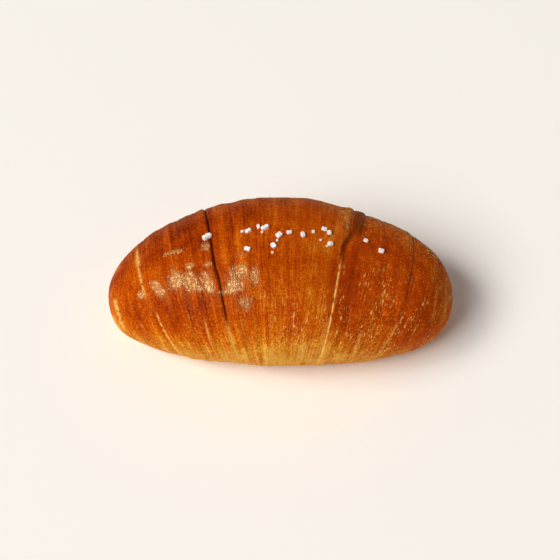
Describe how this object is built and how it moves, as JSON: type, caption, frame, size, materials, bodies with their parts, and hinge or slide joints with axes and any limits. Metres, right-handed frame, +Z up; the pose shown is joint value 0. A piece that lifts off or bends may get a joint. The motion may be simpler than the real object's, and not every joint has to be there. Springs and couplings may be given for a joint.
{
  "type": "bread roll",
  "caption": "Oblong rolled bread roll with wrapped crust bands stepping down to rounded tips, coarse salt on its ridge and a flat base.",
  "frame": {"origin": "on the table, below the middle of the roll", "axes": "+X along the roll, -Y towards the side whose seams show best, +Z up"},
  "size_m": [0.13, 0.0642, 0.0524],
  "materials": {
    "crust": "golden brown baked crust with a soft egg-wash gloss",
    "salt": "white coarse salt crystals"
  },
  "bodies": {
    "root": {"roll": "crust"}
  },
  "joints": []
}
